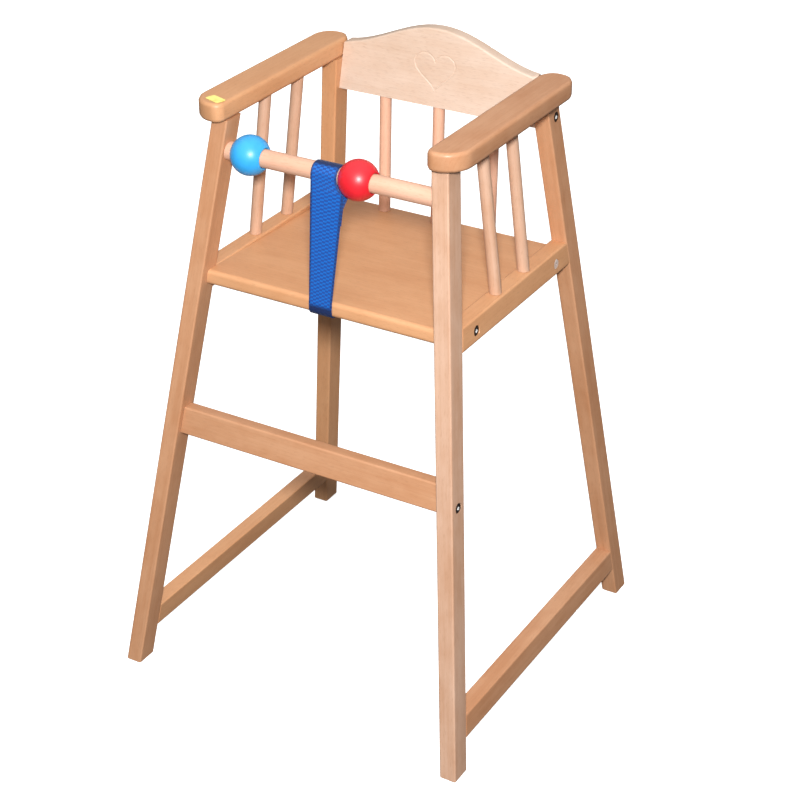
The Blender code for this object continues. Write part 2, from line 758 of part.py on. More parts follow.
def make_bead(name, x, material):
    """A ball with a bore, turned about its own Z axis, which lies along the front bar."""
    start = math.asin((BEAD_BORE + 0.001) / BEAD_RADIUS)
    steps = 12
    profile = [(BEAD_BORE, BEAD_RADIUS * math.cos(start) - 0.0008)]
    for step in range(steps + 1):
        angle = start + (math.pi - 2 * start) * step / steps
        profile.append((BEAD_RADIUS * math.sin(angle), BEAD_RADIUS * math.cos(angle)))
    profile.append((BEAD_BORE, -profile[0][1]))
    bm = bmesh.new()
    verts = [bm.verts.new((radius, 0, height)) for radius, height in profile]
    for first, second in zip(verts, verts[1:] + verts[:1]):
        bm.edges.new((first, second))
    mesh = bpy.data.meshes.new(name)
    bm.to_mesh(mesh)
    bm.free()
    mesh.materials.append(material)
    bead = bpy.data.objects.new(name, mesh)
    CHAIR.objects.link(bead)
    bead.location = (x, bar_y(), BAR_Z)
    bead.rotation_euler = (0, math.radians(90), 0)
    screw = bead.modifiers.new("turned", "SCREW")
    screw.steps = 32
    screw.render_steps = 32
    screw.use_merge_vertices = True
    screw.merge_threshold = 0.00005
    screw.use_smooth_shade = True
    return bead


def strap_slope():
    """How far the strap's front run leans off upright, in radians: it touches the bar and the seat's nose."""
    nose_y, nose_z = seat_point(SEAT_NOSE, -SEAT_NOSE)
    dy, dz = nose_y - bar_y(), nose_z - BAR_Z
    return math.acos((BAR_RADIUS - SEAT_NOSE) / math.hypot(dy, dz)) - math.atan2(-dz, -dy)


def strap_path():
    """The strap's middle line seen from the right side, as (y, z).

    It starts with the sewn end of the loop behind the strap's own front run, goes up round the back and
    over the bar, down to the seat's front edge, and under the seat.
    """
    off = GAP + STRAP_THICKNESS / 2
    around = BAR_RADIUS + off
    nose = SEAT_NOSE + off
    slope = strap_slope()
    y_bar = bar_y()
    forward, down = -math.sin(slope), -math.cos(slope)
    leaves_y, leaves_z = y_bar - around * math.cos(slope), BAR_Z + around * math.sin(slope)
    behind = STRAP_THICKNESS + GAP
    points = []
    for run in (STRAP_LOOP, STRAP_LOOP - STRAP_SEAM):
        points.append((leaves_y + forward * run + behind, leaves_z + down * run))
    start = math.radians(-35)
    joins_y, joins_z = y_bar + around * math.cos(start), BAR_Z + around * math.sin(start)
    seam_y, seam_z = points[-1]
    for share in (0.35, 0.6, 0.8):
        points.append((seam_y + (joins_y - seam_y) * share, seam_z + (joins_z - seam_z) * share))
    for step in range(12):
        angle = start + (math.pi - slope - start) * step / 11
        points.append((y_bar + around * math.cos(angle), BAR_Z + around * math.sin(angle)))
    for run in STRAP_FRONT_ROWS:
        points.append((leaves_y + forward * run, leaves_z + down * run))
    for turned in (math.pi - slope + SEAT_FALL, math.pi):
        points.append(seat_point(SEAT_NOSE + nose * math.cos(turned), -SEAT_NOSE + nose * math.sin(turned)))
    low = -SEAT_THICKNESS + SEAT_NOSE
    for step in range(5):
        turned = math.radians(180 + 90 * step / 4)
        points.append(seat_point(SEAT_NOSE + nose * math.cos(turned), low + nose * math.sin(turned)))
    points.append(seat_point(STRAP_SCREW_SETBACK + 0.010, -SEAT_THICKNESS - off))
    return points


def strap_edges(y, z):
    """The strap's left and right edges at a point of its path."""
    share = min(1, max(0, (BAR_Z - z) / (BAR_Z - SEAT_FRONT_TOP)))
    left = STRAP_LEFT_TOP + (STRAP_LEFT_SEAT - STRAP_LEFT_TOP) * share
    right = STRAP_RIGHT_TOP + (STRAP_RIGHT_SEAT - STRAP_RIGHT_TOP) * share
    reach = math.hypot(y - bar_y(), z - BAR_Z)
    if reach < BEAD_RADIUS:
        crowded = RED_BEAD_X - math.sqrt(BEAD_RADIUS**2 - reach**2) - STRAP_BEAD_CLEARANCE
        right = min(right, crowded)
    return left, right


def make_strap():
    """Webbing: a narrow surface along the path, thickened."""
    bm = bmesh.new()
    rows = [[bm.verts.new((x, y, z)) for x in strap_edges(y, z)] for y, z in strap_path()]
    for first, second in zip(rows, rows[1:]):
        bm.faces.new((first[0], second[0], second[1], first[1]))
    strap = finish("crotch_strap", bm, BLUE_WEBBING, (0, bar_y(), BAR_Z))
    solid = strap.modifiers.new("webbing", "SOLIDIFY")
    solid.thickness = STRAP_THICKNESS
    solid.offset = 0
    solid.use_even_offset = True
    cut(strap, screw_hole("strap_screw_hole_webbing", SCREW_RADIUS + GAP, 0.004, 0.004))
    return strap


def under_seat(bm, below):
    """Sets a piece drawn on the Z axis square to the seat's underside, its origin that far below it."""
    y, z = seat_point(STRAP_SCREW_SETBACK, -SEAT_THICKNESS - below)
    turn(bm, -SEAT_FALL, "X")
    x = (STRAP_LEFT_SEAT + STRAP_RIGHT_SEAT) / 2
    move(bm, (x, y, z))
    return x, y, z


def screw_hole(name, radius, up, down):
    bm = rod_mesh(radius, up + down, 16)
    move(bm, (0, 0, (up - down) / 2))
    under_seat(bm, 0)
    return helper(name, bm)


def make_strap_washer():
    bm = rod_mesh(WASHER_RADIUS, WASHER_THICKNESS, 24)
    at = under_seat(bm, 2 * GAP + STRAP_THICKNESS + WASHER_THICKNESS / 2)
    washer = finish("strap_washer", bm, BRIGHT_STEEL, at)
    cut(washer, screw_hole("washer_hole", SCREW_RADIUS + GAP, 0.002, 0.010))
    return washer


def make_strap_screw():
    """A round-headed wood screw that clamps the strap's end under the seat."""
    bm = rod_mesh(SCREW_RADIUS, SCREW_LENGTH, 16)
    move(bm, (0, 0, SCREW_LENGTH / 2))
    made = bmesh.ops.extrude_discrete_faces(bm, faces=[cap_at(bm, -1)])["faces"][0]
    for vert in made.verts:
        vert.co.xy = vert.co.xy * (SCREW_HEAD_RADIUS / SCREW_RADIUS)
    head = bmesh.ops.extrude_discrete_faces(bm, faces=[made])["faces"][0]
    for vert in head.verts:
        vert.co.xy = vert.co.xy * 0.7
        vert.co.z -= SCREW_HEAD_HEIGHT
    at = under_seat(bm, 3 * GAP + STRAP_THICKNESS + WASHER_THICKNESS)
    return finish("strap_screw", bm, BRIGHT_STEEL, at)


def make_label():
    """A small blank sticker near the front of the left arm."""
    bm = box_mesh(LABEL_SIZE)
    round_edges(bm, LABEL_CORNER, runs_along(2), 3)
    turn(bm, math.radians(LABEL_TURN), "Z")
    at = Vector((-ARM_CENTRE_X + 0.0070, ARM_FRONT_Y + 0.0155, ARM_TOP + GAP + LABEL_SIZE[2] / 2))
    move(bm, at)
    return finish("blank_label", bm, YELLOW_PAPER, at)


# Assembly


def fit_bolt(tag, side, y, z, outer_piece, inner_piece, nut_axis, towards, reach):
    """One knock-down fitting: bolt through the side frame into a barrel nut in the cross piece."""
    name = f"{tag}_{side_name(side)}"
    bore, shank = bolt_clearance(name, side, y, z)
    cut(outer_piece, bore, shank)
    cut(inner_piece, shank, nut_hole(f"{name}_nut_hole", side, y, z, nut_axis, towards, reach))
    make_bolt(f"bolt_{name}", side, y, z)
    make_barrel_nut(f"barrel_nut_{name}", side, y, z, nut_axis)


def build_chair():
    seat = make_seat()
    back = make_back_board()
    footrest = make_footrest()
    make_front_bar()
    for tag, x in zip(("left", "middle", "right"), BACK_SPINDLE_XS):
        make_back_spindle(f"back_spindle_{tag}", x)
        cut(seat, back_socket(f"seat_socket_{tag}", x, seat_top(BACK_SPINDLE_Y), -1))
        cut(back, back_socket(f"board_socket_{tag}", x, BACK_BOTTOM, 1))
    for side in (-1, 1):
        legs, rail = make_side_frame(side)
        pin = pin_hole(side)
        make_locating_pin(side)
        cut(legs["front"], bar_socket(side), pin)
        cut(footrest, pin)
        y = footrest_y(FOOTREST_BOLT_Z)
        fit_bolt("footrest", side, y, FOOTREST_BOLT_Z, legs["front"], footrest, "Y", 1, 0.020)
        for tag, y in zip(("seat_front", "seat_rear"), SEAT_BOLT_YS):
            fit_bolt(tag, side, y, SEAT_BOLT_Z, rail, seat, "Z", -1, 0.020)
        y = back_centre_y(BACK_BOLT_Z)
        fit_bolt("back", side, y, BACK_BOLT_Z, legs["rear"], back, "Y", 1, 0.020)
    make_bead("bead_blue", BLUE_BEAD_X, BLUE_LACQUER)
    make_bead("bead_red", RED_BEAD_X, RED_LACQUER)
    make_strap()
    make_strap_washer()
    make_strap_screw()
    cut(seat, screw_hole("strap_screw_hole_seat", SCREW_RADIUS + GAP, 0.012, 0.004))
    make_label()


build_chair()
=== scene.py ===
import json
import math

import bmesh
import bpy
import numpy as np
from mathutils import Matrix, Vector

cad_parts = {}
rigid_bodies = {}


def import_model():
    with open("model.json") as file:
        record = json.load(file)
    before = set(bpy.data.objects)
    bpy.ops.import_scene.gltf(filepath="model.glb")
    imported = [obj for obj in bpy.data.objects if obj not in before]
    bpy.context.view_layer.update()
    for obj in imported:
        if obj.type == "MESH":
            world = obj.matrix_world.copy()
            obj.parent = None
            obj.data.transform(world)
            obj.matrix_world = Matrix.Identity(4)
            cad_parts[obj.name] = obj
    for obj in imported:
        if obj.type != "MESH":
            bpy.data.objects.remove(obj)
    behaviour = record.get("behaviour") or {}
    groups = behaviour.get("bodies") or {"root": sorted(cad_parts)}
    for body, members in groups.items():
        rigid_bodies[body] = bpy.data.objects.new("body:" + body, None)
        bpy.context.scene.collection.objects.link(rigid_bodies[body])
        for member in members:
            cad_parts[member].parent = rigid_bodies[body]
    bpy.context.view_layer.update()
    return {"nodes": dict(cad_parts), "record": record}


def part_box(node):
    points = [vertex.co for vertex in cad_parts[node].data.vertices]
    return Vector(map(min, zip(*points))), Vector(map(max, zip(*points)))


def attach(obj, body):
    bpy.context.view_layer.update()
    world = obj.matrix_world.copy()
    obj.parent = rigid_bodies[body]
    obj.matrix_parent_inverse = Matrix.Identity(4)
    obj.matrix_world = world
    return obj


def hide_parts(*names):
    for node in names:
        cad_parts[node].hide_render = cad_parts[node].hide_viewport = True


for leftover in list(bpy.data.objects):
    bpy.data.objects.remove(leftover, do_unlink=True)

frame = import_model()
NODES = frame["nodes"]
RECORD = frame["record"]
SCENE = bpy.context.scene
SLOT_OF = {row["node"]: row["material_slot"] for row in RECORD["subparts"]}
BODY_OF = {node: body for body, members in RECORD["behaviour"]["bodies"].items() for node in members}

# The chair's own dimensions, as in the part
SPLAY = 0.124
FRONT_RAKE = 0.178
REAR_RAKE = 0.124
SEAT_FALL = math.radians(2.0)
SEAT_FRONT_Y, SEAT_FRONT_TOP, SEAT_THICKNESS, SEAT_NOSE = -0.137, 0.540, 0.019, 0.0055
BAR_Z, BAR_RADIUS = 0.685, 0.011
BAR_Y = -0.2425 + FRONT_RAKE * BAR_Z + 0.0295 / 2


# ---------------------------------------------------------------- camera

CAMERA_AT = Vector((1.1009, -1.8216, 1.5385))
CAMERA_AZIMUTH, CAMERA_ELEVATION, CAMERA_ROLL = 30.876, 30.143, -0.367
CAMERA_LENS = 87.32
CAMERA_SHIFT = (0.0137, 0.0322)


def make_camera():
    azimuth, elevation = math.radians(CAMERA_AZIMUTH), math.radians(CAMERA_ELEVATION)
    roll = math.radians(CAMERA_ROLL)
    level_share = math.cos(elevation)
    back = Vector((math.sin(azimuth) * level_share, -math.cos(azimuth) * level_share, math.sin(elevation)))
    level = Vector((math.cos(azimuth), math.sin(azimuth), 0))
    upright = back.cross(level)
    right = level * math.cos(roll) + upright * math.sin(roll)
    up = upright * math.cos(roll) - level * math.sin(roll)
    data = bpy.data.cameras.new("camera")
    data.sensor_width = 36
    data.lens = CAMERA_LENS
    data.shift_x, data.shift_y = CAMERA_SHIFT
    data.clip_end = 50
    camera = bpy.data.objects.new("camera", data)
    SCENE.collection.objects.link(camera)
    rotation = Matrix((right, up, back)).transposed()
    camera.matrix_world = Matrix.Translation(CAMERA_AT) @ rotation.to_4x4()
    SCENE.camera = camera
    return up


camera_up = make_camera()


# ---------------------------------------------------------------- node helpers


def new_material(name):
    material = bpy.data.materials.new(name)
    material.use_nodes = True
    nodes = material.node_tree.nodes
    nodes.clear()
    output = nodes.new("ShaderNodeOutputMaterial")
    shader = nodes.new("ShaderNodeBsdfPrincipled")
    material.node_tree.links.new(shader.outputs[0], output.inputs[0])
    return material, shader


class Graph:
    """Short ways to add and join shader nodes in one tree."""

    def __init__(self, tree):
        self.tree = tree

    def add(self, kind, **settings):
        node = self.tree.nodes.new(kind)
        for name, value in settings.items():
            setattr(node, name, value)
        return node

    def put(self, socket, value):
        if isinstance(value, bpy.types.NodeSocket):
            self.tree.links.new(value, socket)
        elif value is not None:
            socket.default_value = value

    def math(self, operation, a, b=None, c=None, clamp=False):
        node = self.add("ShaderNodeMath", operation=operation, use_clamp=clamp)
        for socket, value in zip(node.inputs, (a, b, c)):
            self.put(socket, value)
        return node.outputs[0]

    def vector(self, operation, a, b=None):
        node = self.add("ShaderNodeVectorMath", operation=operation)
        self.put(node.inputs[0], a)
        self.put(node.inputs[1], b)
        return node.outputs[0]

    def noise(self, vector, scale, detail=2.0, rough=0.5, distortion=0.0):
        node = self.add("ShaderNodeTexNoise")
        self.put(node.inputs["Vector"], vector)
        self.put(node.inputs["Scale"], scale)
        self.put(node.inputs["Detail"], detail)
        self.put(node.inputs["Roughness"], rough)
        self.put(node.inputs["Distortion"], distortion)
        return node.outputs[0]

    def band(self, value, low, high, to_low=0.0, to_high=1.0, smooth=True):
        node = self.add("ShaderNodeMapRange", interpolation_type="SMOOTHSTEP" if smooth else "LINEAR")
        for name, number in zip(("From Min", "From Max", "To Min", "To Max"), (low, high, to_low, to_high)):
            self.put(node.inputs[name], number)
        self.put(node.inputs["Value"], value)
        return node.outputs["Result"]

    def mix(self, factor, a, b, blend="MIX"):
        node = self.add("ShaderNodeMix", data_type="RGBA", blend_type=blend)
        self.put(node.inputs["Factor"], factor)
        self.put(node.inputs["A"], a)
        self.put(node.inputs["B"], b)
        return node.outputs["Result"]

    def bump(self, height, distance, strength=1.0):
        node = self.add("ShaderNodeBump")
        self.put(node.inputs["Height"], height)
        node.inputs["Distance"].default_value = distance
        node.inputs["Strength"].default_value = strength
        return node.outputs[0]

    def place(self, vector, location=(0, 0, 0), rotation=(0, 0, 0), scale=(1, 1, 1), kind="POINT"):
        node = self.add("ShaderNodeMapping", vector_type=kind)
        self.put(node.inputs["Vector"], vector)
        if kind == "POINT":
            node.inputs["Location"].default_value = location
        node.inputs["Rotation"].default_value = rotation
        node.inputs["Scale"].default_value = scale
        return node.outputs[0]


def srgb(r, g, b):
    """Linear colour from 0-255 display values."""
    out = []
    for value in (r, g, b):
        share = value / 255
        out.append(share / 12.92 if share <= 0.04045 else ((share + 0.055) / 1.055) ** 2.4)
    return (*out, 1.0)


# ---------------------------------------------------------------- wood


def make_beech_group():
    """Lacquered beech in a grain space whose Z runs along the fibres, in metres."""
    tree = bpy.data.node_groups.new("beech", "ShaderNodeTree")
    inputs = {"Grain": "Vector", "Light": "Color", "Dark": "Color", "Figure": "Float", "End": "Float"}
    outputs = {"Color": "Color", "Roughness": "Float", "Height": "Float"}
    for in_out, sockets in (("INPUT", inputs), ("OUTPUT", outputs)):
        for name, kind in sockets.items():
            tree.interface.new_socket(name, in_out=in_out, socket_type=f"NodeSocket{kind}")
    g = Graph(tree)
    source = g.add("NodeGroupInput")
    grain, light, dark, figure, end = source.outputs[:5]
    # Slow drift of tone along and across the board
    broad = g.noise(g.place(grain, scale=(1, 1, 0.30)), 26, 3, 0.55)
    cloud = g.noise(g.place(grain, location=(3, 1, 7), scale=(1, 1, 0.6)), 62, 2, 0.5)
    # Growth rings round a pith that lies outside the board
    warp = g.noise(g.place(grain, scale=(1, 1, 0.12)), 30, 2)
    drift = g.vector("MULTIPLY", g.vector("SUBTRACT", warp, (0.5, 0.5, 0.5)), (0.012, 0.012, 0))
    bent = g.vector("ADD", grain, drift)
    wave = g.add("ShaderNodeTexWave", wave_type="RINGS", rings_direction="Z", wave_profile="SAW")
    g.put(wave.inputs["Vector"], g.place(bent, location=(0.075, 0.045, 0)))
    g.put(wave.inputs["Scale"], 62.0)
    g.put(wave.inputs["Distortion"], 1.2)
    g.put(wave.inputs["Detail"], 2.0)
    g.put(wave.inputs["Detail Scale"], 0.8)
    ring = g.band(wave.outputs["Fac"], 0.55, 1.0)
    # Fibres, pores and the short rays of beech
    fibre = g.noise(g.place(grain, scale=(1, 1, 0.022)), 480, 4, 0.62)
    strand = g.noise(g.place(grain, location=(5, 2, 1), scale=(1, 1, 0.035)), 150, 3, 0.6)
    pore = g.band(g.noise(g.place(grain, scale=(1, 1, 0.075)), 1500, 1.0), 0.60, 0.72)
    ray_cells = g.add("ShaderNodeTexVoronoi", feature="F1")
    g.put(ray_cells.inputs["Vector"], g.place(grain, scale=(1, 1.0, 0.20)))
    g.put(ray_cells.inputs["Scale"], 420.0)
    ray = g.band(ray_cells.outputs["Distance"], 0.16, 0.30, 1.0, 0.0)
    # Tone: 0 light, 1 dark
    tone = g.math("MULTIPLY_ADD", g.math("SUBTRACT", broad, 0.5), 2.0, 0.42)
    tone = g.math("MULTIPLY_ADD", g.math("SUBTRACT", cloud, 0.5), 1.0, tone)
    tone = g.math("MULTIPLY_ADD", g.math("SUBTRACT", strand, 0.5), 0.80, tone)
    tone = g.math("MULTIPLY_ADD", ring, g.math("MULTIPLY", figure, 0.32), tone)
    tone = g.math("MULTIPLY_ADD", g.math("SUBTRACT", fibre, 0.5), 0.7, tone, clamp=True)
    colour = g.mix(tone, light, dark)
    colour = g.mix(g.math("MULTIPLY", ray, 0.13), colour, (0.30, 0.13, 0.055, 1))
    colour = g.mix(g.math("MULTIPLY", pore, 0.16), colour, (0.26, 0.12, 0.055, 1))
    colour = g.mix(g.math("MULTIPLY", end, 0.30), colour, (0.42, 0.20, 0.09, 1))
    sheen = g.math("MULTIPLY_ADD", fibre, 0.16, 0.42)
    sheen = g.math("MULTIPLY_ADD", end, 0.12, sheen)
    height = g.math("MULTIPLY_ADD", pore, -0.8, g.math("MULTIPLY", fibre, 0.6))
    sink = g.add("NodeGroupOutput")
    for socket, value in zip(sink.inputs, (colour, sheen, height)):
        g.put(socket, value)
    return tree


BEECH = make_beech_group()


def wood(name, axis, light, dark, seed=0, figure=0.6, coat=0.16, coat_roughness=0.30):
    """A lacquered beech whose fibres run along axis. seed moves the pattern to another part of the tree."""
    material, shader = new_material(name)
    g = Graph(material.node_tree)
    coordinate = g.add("ShaderNodeTexCoord")
    turn = Vector(axis).normalized().rotation_difference(Vector((0, 0, 1))).to_euler()
    shift = (0.37 * seed % 5.3, 0.71 * seed % 4.1, 1.13 * seed % 6.7)
    grain = g.place(coordinate.outputs["Object"], location=shift, rotation=turn)
    along = g.place(coordinate.outputs["Normal"], rotation=turn, kind="NORMAL")
    split = g.add("ShaderNodeSeparateXYZ")
    g.put(split.inputs[0], along)
    end = g.band(g.math("ABSOLUTE", split.outputs["Z"]), 0.80, 0.97)
    group = g.add("ShaderNodeGroup", node_tree=BEECH)
    for socket, value in zip(group.inputs, (grain, light, dark, figure, end)):
        g.put(socket, value)
    colour, roughness, height = group.outputs
    g.put(shader.inputs["Base Color"], colour)
    g.put(shader.inputs["Roughness"], roughness)
    g.put(shader.inputs["Normal"], g.bump(height, 0.00006, 0.8))
    shader.inputs["Coat Weight"].default_value = coat
    shader.inputs["Coat Roughness"].default_value = coat_roughness
    shader.inputs["IOR"].default_value = 1.48
    return material


# ---------------------------------------------------------------- shapes


def add_object(name, mesh):
    obj = bpy.data.objects.new(name, mesh)
    SCENE.collection.objects.link(obj)
    return obj


def mesh_of(name, bm, sharp=40):
    bmesh.ops.recalc_face_normals(bm, faces=bm.faces)
    mesh = bpy.data.meshes.new(name)
    bm.to_mesh(mesh)
    bm.free()
    mesh.shade_smooth()
    mesh.set_sharp_from_angle(angle=math.radians(sharp))
    return mesh


def stand_in(piece, node, material):
    """piece takes the place of one CAD node, on its body, with material as its one material."""
    piece.data.materials.clear()
    piece.data.materials.append(material)
    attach(piece, BODY_OF[node])
    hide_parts(node)
    return piece


def clean_copy(node, material, sharp=50):
    """The CAD node's own shape, its facets joined and its round edges shaded smooth."""
    bm = bmesh.new()
    bm.from_mesh(NODES[node].data)
    bmesh.ops.remove_doubles(bm, verts=bm.verts, dist=0.000002)
    bmesh.ops.dissolve_limit(bm, angle_limit=math.radians(0.2), verts=bm.verts, edges=bm.edges)
    suffix = "wood" if "beech" in SLOT_OF[node] else "detail"
    piece = add_object(f"{node}_{suffix}", mesh_of(node, bm, sharp))
    weighted = piece.modifiers.new("weighted", "WEIGHTED_NORMAL")
    weighted.keep_sharp = True
    weighted.weight = 80
    return stand_in(piece, node, material)


# ---------------------------------------------------------------- floor and light


def make_floor():
    bm = bmesh.new()
    bmesh.ops.create_grid(bm, x_segments=1, y_segments=1, size=14)
    floor = add_object("floor", mesh_of("floor", bm))
    floor.location.z = -0.0004
    material, shader = new_material("pale_floor")
    shader.inputs["Base Color"].default_value = (0.9, 0.9, 0.9, 1)
    shader.inputs["Roughness"].default_value = 0.9
    shader.inputs["Specular IOR Level"].default_value = 0.1
    shader.inputs["Emission Color"].default_value = (1, 1, 1, 1)
    shader.inputs["Emission Strength"].default_value = 0.78
    floor.data.materials.append(material)
    floor.visible_diffuse = False
    floor.visible_glossy = False


def add_light(name, at, target, size, power, colour=(1, 1, 1)):
    data = bpy.data.lights.new(name, "AREA")
    data.shape = "DISK"
    data.size = size
    data.energy = power
    data.color = colour
    light = bpy.data.objects.new(name, data)
    SCENE.collection.objects.link(light)
    light.location = at
    light.rotation_euler = (Vector(target) - Vector(at)).to_track_quat("-Z", "Y").to_euler()
    return light


def make_lights():
    target = Vector((0, 0, 0.45))
    key = CAMERA_AT + camera_up * 0.16
    add_light("key", key, target, 0.24, 76, (0.965, 0.985, 1.0))
    fill = add_light("back_fill", (-1.7, 2.4, 0.75), target, 2.2, 14)
    fill.visible_glossy = False
    world = bpy.data.worlds.new("studio")
    world.use_nodes = True
    g = Graph(world.node_tree)
    split = g.add("ShaderNodeSeparateXYZ")
    g.put(split.inputs[0], g.add("ShaderNodeTexCoord").outputs["Generated"])
    background = world.node_tree.nodes["Background"]
    background.inputs["Color"].default_value = (1, 1, 1, 1)
    sky = g.band(split.outputs["Z"], 0.05, 0.9, 0.10, 0.75)
    seen = g.add("ShaderNodeLightPath").outputs["Is Camera Ray"]
    g.put(background.inputs["Strength"], g.math("MAXIMUM", sky, seen))
    SCENE.world = world
    SCENE.view_settings.view_transform = "Standard"


make_floor()
make_lights()


# ---------------------------------------------------------------- the wooden pieces

X, Y = (1, 0, 0), (0, 1, 0)


def tones(middle):
    """A pale and a deep version of one lacquered-beech colour: the deep one is redder.

    Pale pieces have the least figure.
    """
    spread = 0.6 if middle[0] > 0.60 else 1.0
    pale = tuple(min(0.95, value * (1 + rise * spread)) for value, rise in zip(middle, (0.08, 0.12, 0.15)))
    deep = tuple(value * (1 - fall * spread) for value, fall in zip(middle, (0.08, 0.16, 0.24)))
    return (*pale, 1.0), (*deep, 1.0)


# Five tones of lacquered beech, shared by the pieces: the chair is made from unlike boards
CREAM = tones(srgb(216, 190, 170))
ROSY = tones(srgb(224, 175, 148))
FAWN = tones(srgb(200, 160, 134))
HONEY = tones(srgb(210, 154, 110))
TAN = tones(srgb(195, 142, 105))

# Which way the fibres run
RIGHT_FRONT, LEFT_FRONT = (-SPLAY, FRONT_RAKE, 1), (SPLAY, FRONT_RAKE, 1)
RIGHT_REAR, LEFT_REAR = (-SPLAY, -REAR_RAKE, 1), (SPLAY, -REAR_RAKE, 1)
RIGHT_LEAN, LEFT_LEAN = (-SPLAY, 0, 1), (SPLAY, 0, 1)
BACK_LEAN = (0, math.tan(SEAT_FALL), 1)

WOODEN_PIECES = (
    ("front_leg_right", RIGHT_FRONT, FAWN),
    ("front_leg_left", LEFT_FRONT, TAN),
    ("rear_leg_right", RIGHT_REAR, TAN),
    ("rear_leg_left", LEFT_REAR, HONEY),
    ("seat_rail_right", Y, HONEY),
    ("seat_rail_left", Y, HONEY),
    ("floor_stretcher_right", Y, TAN),
    ("floor_stretcher_left", Y, HONEY),
    ("armrest_right", Y, TAN),
    ("armrest_left", Y, HONEY),
    ("seat_board", X, HONEY),
    ("footrest_bar", X, TAN),
    ("back_board", X, CREAM),
    ("side_spindle_front_left", LEFT_LEAN, FAWN),
    ("side_spindle_rear_left", LEFT_LEAN, FAWN),
    ("side_spindle_front_right", RIGHT_LEAN, FAWN),
    ("side_spindle_rear_right", RIGHT_LEAN, FAWN),
    ("back_spindle_left", BACK_LEAN, ROSY),
    ("back_spindle_middle", BACK_LEAN, ROSY),
    ("back_spindle_right", BACK_LEAN, ROSY),
    ("front_bar", X, ROSY),
    ("locating_pin_left", X, ROSY),
    ("locating_pin_right", X, ROSY),
)

for index, (node, axis, (pale, deep)) in enumerate(WOODEN_PIECES):
    clean_copy(node, wood(f"{node}_beech", axis, pale, deep, seed=index + 1))


# ---------------------------------------------------------------- metal, paint, paper


def steel(name, base=(0.60, 0.59, 0.57, 1), roughness=0.26):
    material, shader = new_material(name)
    g = Graph(material.node_tree)
    coordinate = g.add("ShaderNodeTexCoord").outputs["Object"]
    speck = g.noise(coordinate, 1800, 3, 0.6)
    cloud = g.noise(coordinate, 240, 2)
    dull = g.mix(g.band(cloud, 0.35, 0.7), base, tuple(0.72 * value for value in base[:3]) + (1,))
    g.put(shader.inputs["Base Color"], dull)
    shader.inputs["Metallic"].default_value = 1.0
    g.put(shader.inputs["Roughness"], g.math("MULTIPLY_ADD", speck, 0.22, roughness - 0.11))
    g.put(shader.inputs["Normal"], g.bump(speck, 0.00004, 0.5))
    return material


def paint(name, colour, deep):
    """Gloss lacquer sprayed on a wooden ball: a little orange peel and faint unevenness of tone."""
    material, shader = new_material(name)
    g = Graph(material.node_tree)
    coordinate = g.add("ShaderNodeTexCoord").outputs["Object"]
    cloud = g.band(g.noise(coordinate, 60, 3, 0.6), 0.3, 0.72)
    g.put(shader.inputs["Base Color"], g.mix(g.math("MULTIPLY", cloud, 0.35), colour, deep))
    peel = g.noise(coordinate, 420, 2, 0.5)
    g.put(shader.inputs["Roughness"], g.math("MULTIPLY_ADD", peel, 0.12, 0.35))
    g.put(shader.inputs["Normal"], g.bump(peel, 0.00012, 0.35))
    shader.inputs["Coat Weight"].default_value = 0.25
    shader.inputs["Coat Roughness"].default_value = 0.32
    return material


BRIGHT_TO_DARK = (0.165, 0.205)  # where the hexagon's painted light turns into the head's painted reflection, just outside the hexagon, as shares of the head's diameter


def bolt_metal(name, rim, socket, metallic):
    """A socket screw with painted light: rim is the head's colour, a painted reflection, and socket paints
    the light in and round its hexagon, a glint on one bolt and shade on another.
    """
    material, shader = new_material(name)
    g = Graph(material.node_tree)
    coordinate = g.add("ShaderNodeTexCoord")
    centred = g.vector("SUBTRACT", coordinate.outputs["Generated"], (0, 0.5, 0.5))
    from_axis = g.vector("MULTIPLY", centred, (0, 1, 1))
    length = g.add("ShaderNodeVectorMath", operation="LENGTH")
    g.put(length.inputs[0], from_axis)
    outside = g.band(length.outputs["Value"], *BRIGHT_TO_DARK)
    speck = g.noise(coordinate.outputs["Object"], 1500, 3, 0.6)
    g.put(shader.inputs["Base Color"], g.mix(outside, socket, rim))
    shader.inputs["Metallic"].default_value = metallic
    g.put(shader.inputs["Roughness"], g.math("MULTIPLY_ADD", speck, 0.20, 0.30))
    shader.inputs["Specular IOR Level"].default_value = 0.25
    g.put(shader.inputs["Normal"], g.bump(speck, 0.00004, 0.5))
    return material


STEEL = steel("bright_zinc")
# painted dark reflection on the head, with a painted glint in and round the hexagon
BOLT_PAINTED_DARK_REFLECTION = bolt_metal("blackened_bolt", (0.016, 0.008, 0.006, 1), (0.95, 0.93, 0.90, 1), 0.0)
# head painted pale as a bright reflection, its hexagon painted darker as shade
BOLT_PAINTED_BRIGHT_REFLECTION = bolt_metal("plated_bolt", (0.84, 0.68, 0.60, 1), (0.30, 0.22, 0.18, 1), 0.25)
# the bolts share one head: one is painted with a bright reflection, the rest with a dark reflection and a
# glint
for node in NODES:
    if SLOT_OF[node] != "bright_steel":
        continue
    if node.startswith("bolt_"):
        clean_copy(node, BOLT_PAINTED_BRIGHT_REFLECTION if node == "bolt_seat_rear_right" else BOLT_PAINTED_DARK_REFLECTION, 30)
    else:
        clean_copy(node, STEEL, 30)


